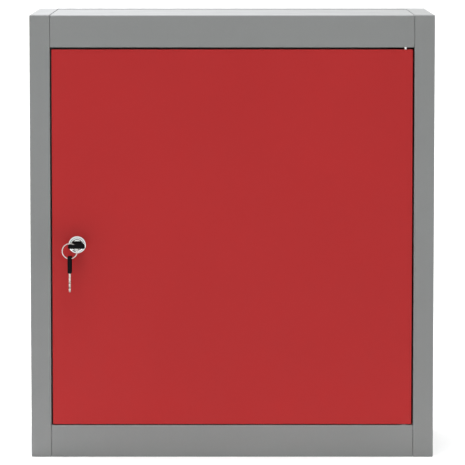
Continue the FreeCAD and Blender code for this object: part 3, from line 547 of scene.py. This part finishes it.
class CABINET_OT_lock(bpy.types.Operator):
    """Makes the lock body: a bevelled disc with a turned line, and a barrel with a screw thread."""
    bl_idname = "cabinet.lock"
    bl_label = "Lock body"

    def execute(self, context):
        settings = context.scene.cabinet_lock
        face, end = LOCK_LOW.y, LOCK_HIGH.y
        disc = (LOCK_HIGH.x - LOCK_LOW.x) / 2
        barrel, bore = settings.barrel_radius, settings.bore_radius
        front = np.concatenate((
            stepped(BORE_EDGE, face, bore), stepped(TURNED_LINE, face, disc - settings.line_inset),
            stepped(DISC_BEVEL, face, disc), stepped(DISC_BACK, DOOR_FACE, disc),
            stepped(NECK_EDGE, DOOR_FACE, barrel)))
        rows, cut = self.thread(settings, DOOR_FACE + settings.neck_length, end)
        thread = np.stack((rows, np.full(len(rows), barrel)), axis=-1)
        inside = [(place, bore) for place in np.linspace(end - 3 * MM, face + 4 * MM, num=5)]
        profile = np.concatenate((
            front, thread, stepped(THREAD_EDGE, end, barrel - settings.thread_depth),
            stepped(BORE_END, end, bore), inside))
        shift = np.zeros((len(profile), ROUND_SIDES))
        shift[len(front):len(front) + len(rows)] = -cut
        add_piece("threaded_lock_body", turned(profile, LOCK_AXIS, shift=shift, closed=True),
                  "door", finish_of("lock_chrome"), ["lock_body"])
        return {"FINISHED"}

    def thread(self, settings, start, end):
        """Places of the thread's rows on the axis, and the depth of its cut there. At the place y and
        the share s of a turn, the depth is thread_depth * (0.5 - 0.5 * cos(TURN * (y / pitch - s)))
        ** 1.4. Within a turn of either end it fades to a small share of that."""
        chamfer, rows_per_turn, least_share = 0.3 * MM, 10, 0.15
        pitch = settings.thread_pitch
        rows = np.linspace(start, end - chamfer, int((end - start) / pitch * rows_per_turn))
        share_of_turn = np.arange(ROUND_SIDES) / ROUND_SIDES
        wave = 0.5 - 0.5 * np.cos(TURN * (rows[:, None] / pitch - share_of_turn))
        turns_from_end = np.minimum(rows - start, end - chamfer - rows) / pitch
        fade = np.clip(turns_from_end + least_share, 0, 1)[:, None]
        return rows, settings.thread_depth * wave ** 1.4 * fade


# Edges of the flat washer and of the screw's head, as steps in millimetres
WASHER_FRONT = ((0, -0.15), (0.12, 0))
WASHER_BACK = ((-0.15, 0), (0, -0.2))
HEAD_UNDER = ((0.1, 0), (0, -0.12))


class CABINET_OT_cam_screw(bpy.types.Operator):
    """Makes the screw of the cam: a domed head with a cross recess, a split washer and a flat one."""
    bl_idname = "cabinet.cam_screw"
    bl_label = "Cam screw"

    def execute(self, context):
        settings = context.scene.cabinet_lock
        flat_top = CAM_BACK + settings.flat_washer
        split_top = flat_top + settings.split_washer
        pieces = (self.flat_washer(settings, flat_top), self.head_top(settings),
                  self.head_side(settings, split_top), self.split_washer(flat_top, split_top))
        add_piece("cross_recess_screw", joined(*pieces), "lock_plug",
                  finish_of("zinc_steel"), ["cam_screw"], smooth_angle=30)
        return {"FINISHED"}

    def flat_washer(self, settings, top):
        """A flat ring with rounded rims, on the back of the cam."""
        radius, hole = (SCREW_HIGH.x - SCREW_LOW.x) / 2, settings.shank_radius
        profile = np.concatenate(([(CAM_BACK, hole)], stepped(WASHER_FRONT, CAM_BACK, radius),
                                  stepped(WASHER_BACK, top, radius), [(top, hole)]))
        return turned(profile, LOCK_AXIS, sides=64, closed=True)

    def head_top(self, settings):
        """The dome with its recess. At the radius r it stands dome_height * (1 - (r / head_radius)
        ** 2.2) above its rim. The recess is taken off that: a cross whose walls slope from no depth
        at its outline to the full depth a little inside it, and a round middle that slopes too."""
        wall, middle, middle_slope = 0.32 * MM, 1.05 * MM, 0.5 * MM
        full, rows = settings.recess_depth, 44
        radius = (np.linspace(0, 1, rows) ** 0.8 * settings.head_radius)[:, None]
        angle = np.arange(HEAD_SIDES) / HEAD_SIDES * TURN
        dome = settings.dome_height * (1 - (radius / settings.head_radius) ** 2.2)
        across, along = np.abs(radius * np.cos(angle)), np.abs(radius * np.sin(angle))
        reach, half = settings.recess_reach, settings.recess_width / 2
        outside = np.minimum(np.maximum(across - reach, along - half),
                             np.maximum(along - reach, across - half))
        cross = full * np.clip(-outside / wall, 0, 1)
        depth = np.maximum(cross, full * np.clip((middle - radius) / middle_slope, 0, 1))
        rim = SCREW_HIGH.y - settings.dome_height
        radius = np.repeat(radius, HEAD_SIDES, axis=1)
        return surface(round_axis(LOCK_AXIS, radius, rim + dome - depth, HEAD_SIDES), closed_columns=True)

    def head_side(self, settings, low):
        """The head's rim, its underside and the shank down into the plug."""
        radius, shank, tip = settings.head_radius, settings.shank_radius, CAM_BACK - settings.shank_length
        profile = np.concatenate(([(SCREW_HIGH.y - settings.dome_height, radius)],
                                  stepped(HEAD_UNDER, low, radius), [(low, shank), (tip, shank), (tip, 0)]))
        return turned(profile, LOCK_AXIS, sides=HEAD_SIDES)

    def split_washer(self, low, high):
        """A bar of square section wound once round the screw, rising by a little at its split. A point
        of the section that lies p out from its middle and q along the axis is, at the share s of the
        turn, at radius middle_radius + p and height (low + high) / 2 + q + rise * (s - 0.5). The first
        and the last section are drawn in to a point, which closes the bar."""
        wire, middle_radius = 1.5 * MM, 2.9 * MM
        thickness, rise, closing = 0.92 * (high - low), 0.08 * (high - low), 1e-4
        turn_share = np.linspace(0.02, 0.98, num=60)[:, None]
        angle = turn_share * TURN
        corner = np.array([(-1, -1), (1, -1), (1, 1), (-1, 1)]) * 0.5
        scale = np.ones_like(angle)
        scale[[0, -1]] = closing
        radius = middle_radius + corner[:, 0] * wire * scale
        height = (low + high) / 2 + corner[:, 1] * thickness * scale + (turn_share - 0.5) * rise
        points = np.stack((LOCK_AXIS.x + radius * np.sin(angle), height,
                           LOCK_AXIS.z + radius * np.cos(angle)), axis=-1)
        return surface(points, closed_columns=True)


class CABINET_OT_split_ring(bpy.types.Operator):
    """Winds the key ring from flat spring wire: two coils side by side and a jog between them."""
    bl_idname = "cabinet.split_ring"
    bl_label = "Split ring"

    def execute(self, context):
        settings = context.scene.cabinet_keys
        outer = (RING_HIGH.x - RING_LOW.x) / 2
        wire = RING_HIGH.y - RING_LOW.y
        turns, axial, taper = self.path(wire / 2)
        out, side = self.section(wire / 2, (wire / 2 - settings.wire_gap) / 2)
        # The section is carried along the path: out from the wire's middle line, and along the axis.
        angle = settings.ring_end + turns * TURN
        radius = outer - wire / 2 + out * taper
        points = np.stack((RING_MIDDLE.x + radius * np.cos(angle), RING_MIDDLE.y + axial + side * taper,
                           RING_MIDDLE.z + radius * np.sin(angle)), axis=-1)
        add_piece("split_key_ring", surface(points, closed_columns=True), "key_ring",
                  finish_of("ring_steel"), ["key_ring"], smooth_angle=50)
        return {"FINISHED"}

    def path(self, layer):
        """The turns along the wire, its place on the ring's axis and its taper, as columns. With j
        growing from 0 to 1 across the jog, the place is (j * j * (3 - 2 * j) - 0.5) * layer. Close to
        an end the section shrinks to nothing along a quarter of a circle."""
        end_gap, jog_start, jog_turns, end_turns = 0.06, 0.955, 0.09, 0.008
        turns = np.linspace(end_gap, 2 - end_gap, num=340)[:, None]
        jog = np.clip((turns - jog_start) / jog_turns, 0, 1)
        axial = (jog * jog * (3 - 2 * jog) - 0.5) * layer
        from_end = np.clip(np.minimum(turns - turns[0], turns[-1] - turns) / end_turns, 0, 1)
        return turns, axial, np.sqrt(np.clip(1 - (1 - from_end) ** 2, 0, 1))

    def section(self, half_width, half_height):
        """The wire's section, a squared ellipse: cos and sin of the angle, each raised to 0.45 with
        its sign kept, times the half sizes."""
        sides, squareness = 20, 0.45
        angle = np.arange(sides) / sides * TURN
        cos, sin = np.cos(angle), np.sin(angle)
        return (np.sign(cos) * np.abs(cos) ** squareness * half_width,
                np.sign(sin) * np.abs(sin) ** squareness * half_height)


# Points on each stretch of an outline between two of its bends
POINTS_BETWEEN = 24


def seen_from(middle, outline, angles):
    """How far an outline reaches from middle in each direction: its own distances, put in the order of
    their directions, with those between them on a straight line."""
    offsets = outline - middle
    seen = np.arctan2(offsets[:, 1], offsets[:, 0])
    order = np.argsort(seen)
    return np.interp(angles, seen[order], np.hypot(offsets[order, 0], offsets[order, 1]), period=TURN)


def rounded_outline(corners, radii, count=8):
    """A polygon with rounded corners, as dense points. Each corner is an arc that touches both sides:
    its middle lies radius / sin(half the corner's angle) from the corner, on the line that halves it."""
    corners = np.asarray(corners, float)
    points = []
    for number, (corner, radius) in enumerate(zip(corners, radii)):
        to_last = corners[number - 1] - corner
        to_next = corners[(number + 1) % len(corners)] - corner
        to_last /= np.hypot(*to_last)
        to_next /= np.hypot(*to_next)
        half = math.acos(np.clip(to_last @ to_next, -1, 1)) / 2
        centre = corner + (to_last + to_next) / np.hypot(*(to_last + to_next)) * radius / math.sin(half)
        first = corner + to_last * radius / math.tan(half) - centre
        last = corner + to_next * radius / math.tan(half) - centre
        start = math.atan2(first[1], first[0])
        swing = (math.atan2(last[1], last[0]) - start + math.pi) % TURN - math.pi
        angle = start + np.linspace(0, 1, count) * swing
        points.append(centre + radius * np.stack((np.cos(angle), np.sin(angle)), axis=-1))
    points = np.concatenate(points)
    steps = np.arange(POINTS_BETWEEN)[None, :, None] / POINTS_BETWEEN
    following = np.roll(points, -1, axis=0)
    return (points[:, None] + (following - points)[:, None] * steps).reshape(-1, 2)


class CABINET_OT_key_heads(bpy.types.Operator):
    """Moulds the black heads of the two keys: rounded edges, dished faces and a slot for the ring."""
    bl_idname = "cabinet.key_heads"
    bl_label = "Key heads"

    def execute(self, context):
        settings = context.scene.cabinet_keys
        low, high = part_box("key_head")
        points, quads, places = self.head(settings, high.y - low.y, high.z - low.z)
        along, across, up = points.T
        middle = node_middle("key_head")
        lying = np.stack((middle.x + across, high.y - along, middle.z + up), axis=-1)
        low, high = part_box("spare_key_head")
        middle = node_middle("spare_key_head")
        hanging = np.stack((middle.x + up, middle.y + across, low.z + along), axis=-1)
        black = finish_of("key_black")
        add_piece("moulded_key_head", (lying, quads, places), "key", black, ["key_head"])
        add_piece("moulded_spare_head", (hanging, quads, places), "spare_key", black,
                  ["spare_key_head"])
        return {"FINISHED"}

    def head(self, settings, long, thick):
        """The head as one ring-shaped surface between the slot and the outer edge, with its length
        along the first coordinate from the blade's end. In each direction seen from the middle of
        the slot, the section runs from the slot's wall over its rim, across the dished face, round
        the outer edge, and back under."""
        near_half, far_half = settings.blade_end / 2, settings.outer_end / 2
        slot_middle = np.array((long - settings.slot_inset, 0))
        outer = rounded_outline([(0, -near_half), (long, -far_half), (long, far_half), (0, near_half)],
                                [settings.head_corner] * 4)
        across, along = settings.slot_across / 2, settings.slot_wide / 2
        slot_corner = 0.96 * along
        corners = [(-along, -across), (along, -across), (along, across), (-along, across)]
        slot = rounded_outline([slot_middle + corner for corner in corners], [slot_corner] * 4)
        bends = np.concatenate((outer[::POINTS_BETWEEN], slot[::POINTS_BETWEEN])) - slot_middle
        even = np.linspace(-math.pi, math.pi, num=72, endpoint=False)
        angles = np.unique(np.round(np.concatenate((np.arctan2(bends[:, 1], bends[:, 0]), even)), 4))
        inner_reach = seen_from(slot_middle, slot, angles)
        outer_reach = seen_from(slot_middle, outer, angles)
        from_slot, from_edge = self.section(settings, thick / 2)
        # The strut beside the slot is too narrow for both dishes' edges, so offsets share its width.
        flat_left = 0.1 * MM
        needed = from_slot[-1, 0] + from_edge[0, 0] + flat_left
        squeeze = np.minimum(1, (outer_reach - inner_reach) / needed)
        under = (1, -1)
        rows = []
        for offsets, start, way in ((from_slot, inner_reach, 1), (from_edge, outer_reach, -1),
                                    (from_edge[::-1][1:] * under, outer_reach, -1),
                                    (from_slot[::-1][:-1] * under, inner_reach, 1)):
            reach = start + way * offsets[:, :1] * squeeze
            height = np.repeat(offsets[:, 1:], len(angles), axis=1)
            rows.append(np.stack((slot_middle[0] + reach * np.cos(angles),
                                  slot_middle[1] + reach * np.sin(angles), height), axis=-1))
        return surface(np.concatenate(rows), closed_rows=True, closed_columns=True)

    def section(self, settings, half):
        """The upper half of the section, as distances from the slot's wall and from the outer edge with
        heights above the middle. Both round edges are quarters of circles, and a shallow groove runs
        round the outer edge where the mould parts."""
        edge, rim, floor = settings.grip_edge, 0.5 * MM, half - settings.grip_dish
        rim_land, rim_dish, edge_land, edge_dish = 1.0 * MM, 1.35 * MM, 0.3 * MM, 0.7 * MM
        groove_half, groove_depth = 0.15 * MM, 0.06 * MM
        quarter = np.linspace(0, TURN / 4, num=6)
        over_rim = np.stack((rim * (1 - np.cos(quarter)), half - rim + rim * np.sin(quarter)), axis=-1)
        over_edge = np.stack((edge * (1 - np.sin(quarter)), half - edge + edge * np.cos(quarter)), axis=-1)
        from_slot = np.concatenate(([(0, 0)], over_rim, [(rim_land, half), (rim_dish, floor)]))
        from_edge = np.concatenate(([(edge + edge_dish, floor), (edge + edge_land, half)], over_edge,
                                    [(0, groove_half), (groove_depth, 0)]))
        return from_slot, from_edge


class CABINET_OT_buffers(bpy.types.Operator):
    """Turns the two rubber buffers that the door closes on: a low dome on a thin foot."""
    bl_idname = "cabinet.buffers"
    bl_label = "Door buffers"

    def execute(self, context):
        low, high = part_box("door_buffers")
        radius = (high.x - low.x) / 2
        foot_height, step, edge = 0.35 * MM, 0.5 * MM, 0.12 * MM
        foot = high.y - foot_height
        dome = quarter_curve((low.y, 0), (foot, radius - step), count=12)
        profile = np.concatenate((dome, [(foot, radius - edge), (foot + edge, radius), (high.y, radius),
                                         (high.y, 0)]))
        lower, upper = node_middle("door_buffers"), node_middle("door_buffers")
        lower.z = low.z + radius
        upper.z = high.z - radius
        pair = joined(turned(profile, lower, sides=48), turned(profile, upper, sides=48))
        add_piece("domed_door_buffers", pair, "cabinet", finish_of("buffer_rubber"),
                  ["door_buffers"])
        return {"FINISHED"}


def weld_marks(spots, normal, radius, height):
    """Marks of spot welds on a flat sheet: a shallow cup inside a low rim. With the share s of the
    way to the edge, the height is height * (1 - (2.2 * s - 1.1) ** 2). A last row closes it below."""
    normal = np.asarray(normal, float)
    any_slant = (0.3, 0.5, 0.8)
    rows, sides, foot = 7, 20, -0.3 * height
    first = np.cross(normal, any_slant)
    first /= np.linalg.norm(first)
    second = np.cross(normal, first)
    shares = np.linspace(0, 1, rows)[:, None]
    angle = (np.arange(sides) / sides * TURN)[None, :]
    lift = height * (1 - (2.2 * shares - 1.1) ** 2) * np.ones_like(angle)
    lift = np.concatenate((lift, np.full_like(angle, foot)))
    reach = np.concatenate((shares, [[0]])) * radius
    mark = ((reach * np.cos(angle))[..., None] * first + (reach * np.sin(angle))[..., None] * second
            + lift[..., None] * normal)
    return joined(*(surface(mark + np.asarray(spot), closed_columns=True) for spot in spots))


class CABINET_OT_welds(bpy.types.Operator):
    """Puts the marks of the spot welds on the laps of the shell and on the stiffener of the door."""
    bl_idname = "cabinet.welds"
    bl_label = "Spot weld marks"

    def execute(self, context):
        settings = context.scene.cabinet_welds
        self.stiffener(settings)
        self.shell(settings)
        return {"FINISHED"}

    def stiffener(self, settings):
        """Nine marks along each flange of the stiffener."""
        size, inset = (settings.mark_radius, settings.mark_height), settings.mark_inset
        low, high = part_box("door_stiffener")
        heights = np.linspace(low.z + settings.stiffener_end, high.z - settings.stiffener_end, num=9)
        spots = [(x, low.y + settings.door_sheet, z) for x in (low.x + inset, high.x - inset)
                 for z in heights]
        add_piece("stiffener_weld_marks", weld_marks(spots, (0, 1, 0), *size), "door",
                  finish_of("red_paint"))

    def shell(self, settings):
        """Nine marks along each upright lap at the back, and four along each lap of the base and the
        top. The laps stand in by two sheets from the outside."""
        size, inset = (settings.mark_radius, settings.mark_height), settings.mark_inset
        low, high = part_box("back_panel")
        lap = 2 * settings.shell_sheet
        sides = (low.x + inset, high.x - inset)
        heights = np.linspace(low.z + settings.upright_end, high.z - settings.upright_end, num=9)
        depths = np.linspace(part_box("bottom_panel")[0].y + settings.level_end,
                             high.y - settings.level_end, num=4)
        rear = weld_marks([(x, high.y - lap, z) for x in sides for z in heights], (0, -1, 0), *size)
        base = weld_marks([(x, y, low.z + lap) for x in sides for y in depths], (0, 0, 1), *size)
        top = weld_marks([(x, y, high.z - lap) for x in sides for y in depths], (0, 0, -1), *size)
        add_piece("shell_weld_marks", joined(rear, base, top), "cabinet",
                  finish_of("grey_paint"))


# Lamps: their size, place and turn in metres and degrees, and their tint
LAMPS = {
    "soft_box": ((0.6, 0.5), (-0.5, 0.15, 1.3), (0, -25, 0), (0.945, 0.92, 1.0)),
    "front_box": ((1.6, 0.6), (0, -1.6, 2.2), (40, 0, 0), (1, 1, 1)),
    "strip_light": ((1.1, 0.02), (0, DOOR_FACE - 0.07, 0.015), (90, 0, 0), (1, 1, 1)),
}


class CABINET_OT_stage(bpy.types.Operator):
    """Sets up the camera, the pale floor and the soft studio light."""
    bl_idname = "cabinet.stage"
    bl_label = "Camera, floor and light"

    def execute(self, context):
        settings = context.scene.cabinet_stage
        scene = context.scene
        scene.view_settings.view_transform = "Standard"
        scene.view_settings.look = "None"
        self.camera(scene, settings)
        self.floor(scene, settings)
        self.sky(scene, settings)
        for name, placing in LAMPS.items():
            self.lamp(scene, name, getattr(settings, name + "_power"), *placing)
        return {"FINISHED"}

    def camera(self, scene, settings):
        """A long lens before the door, tilted down a little."""
        camera = bpy.data.objects.new("camera", bpy.data.cameras.new("camera"))
        scene.collection.objects.link(camera)
        camera.location = (settings.camera_side, DOOR_FACE - settings.camera_distance,
                           settings.camera_height)
        camera.rotation_euler = (TURN / 4 - settings.camera_tilt, 0, 0)
        camera.data.sensor_width = 36
        camera.data.lens = settings.camera_lens
        camera.data.clip_end = 200
        scene.camera = camera

    def floor(self, scene, settings):
        """One level sheet, wide enough to fill the view."""
        reach = 60
        mesh = bpy.data.meshes.new("floor")
        mesh.from_pydata([(-reach, -reach, 0), (reach, -reach, 0), (reach, reach, 0), (-reach, reach, 0)],
                         [], [(0, 1, 2, 3)])
        floor = bpy.data.objects.new("floor", mesh)
        scene.collection.objects.link(floor)
        paper = new_material("floor_paper", tuple(settings.floor_colour), roughness=0.9,
                             Specular_IOR_Level=0.0, Emission_Color=(1, 1, 1, 1),
                             Emission_Strength=settings.floor_glow)
        floor.data.materials.append(paper)

    def sky(self, scene, settings):
        """Studio light from all round, far brighter overhead. Reflections see one even white tent
        instead, so that bright metal stays calm."""
        overhead_starts, overhead_full = 0.85, 0.98
        world = bpy.data.worlds.new("studio")
        scene.world = world
        world.use_nodes = True
        nodes, links = world.node_tree.nodes, world.node_tree.links
        place = nodes.new("ShaderNodeTexCoord")
        split = nodes.new("ShaderNodeSeparateXYZ")
        links.new(split.inputs[0], place.outputs["Generated"])
        rise = nodes.new("ShaderNodeMapRange")
        rise.interpolation_type = "SMOOTHSTEP"
        links.new(rise.inputs["Value"], split.outputs["Z"])
        for name, value in (("From Min", overhead_starts), ("From Max", overhead_full),
                            ("To Min", settings.sky_low), ("To Max", settings.sky_high)):
            rise.inputs[name].default_value = value
        path = nodes.new("ShaderNodeLightPath")
        strength = nodes.new("ShaderNodeMix")
        strength.inputs["B"].default_value = settings.tent
        links.new(strength.inputs["A"], rise.outputs["Result"])
        links.new(strength.inputs["Factor"], path.outputs["Is Glossy Ray"])
        links.new(nodes["Background"].inputs["Strength"], strength.outputs["Result"])
        nodes["Background"].inputs["Color"].default_value = (1, 1, 1, 1)

    def lamp(self, scene, name, power, size, place, turn, tint):
        """A flat lamp that neither the camera nor a reflection sees."""
        data = bpy.data.lights.new(name, "AREA")
        data.shape = "RECTANGLE"
        data.size, data.size_y = size
        data.energy = power
        data.color = tint
        lamp = bpy.data.objects.new(name, data)
        lamp.location = place
        lamp.rotation_euler = [math.radians(angle) for angle in turn]
        lamp.visible_camera = False
        lamp.visible_glossy = False
        scene.collection.objects.link(lamp)


OPERATORS = (CABINET_OT_stage, CABINET_OT_paint, CABINET_OT_lock, CABINET_OT_cam_screw,
             CABINET_OT_split_ring, CABINET_OT_key_heads, CABINET_OT_buffers, CABINET_OT_welds)


class CABINET_PT_pieces(bpy.types.Panel):
    """Lists what dresses the cabinet."""
    bl_label = "Tool cabinet"
    bl_idname = "CABINET_PT_pieces"
    bl_space_type = "VIEW_3D"
    bl_region_type = "UI"
    bl_category = "Tool cabinet"

    def draw(self, context):
        for operator in OPERATORS:
            self.layout.operator(operator.bl_idname)
        for name, group in SETTINGS.items():
            box = self.layout.box()
            for setting in group.__annotations__:
                box.prop(getattr(context.scene, name), setting)


CLASSES = (*SETTINGS.values(), *OPERATORS, CABINET_PT_pieces)


def register():
    for item in CLASSES:
        bpy.utils.register_class(item)
    for name, group in SETTINGS.items():
        setattr(bpy.types.Scene, name, bpy.props.PointerProperty(type=group))


def unregister():
    for name in SETTINGS:
        delattr(bpy.types.Scene, name)
    for item in reversed(CLASSES):
        bpy.utils.unregister_class(item)


def main():
    """Makes every piece."""
    register()
    for operator in OPERATORS:
        family, name = operator.bl_idname.split(".")
        getattr(getattr(bpy.ops, family), name)()


if __name__ == "__main__":
    main()
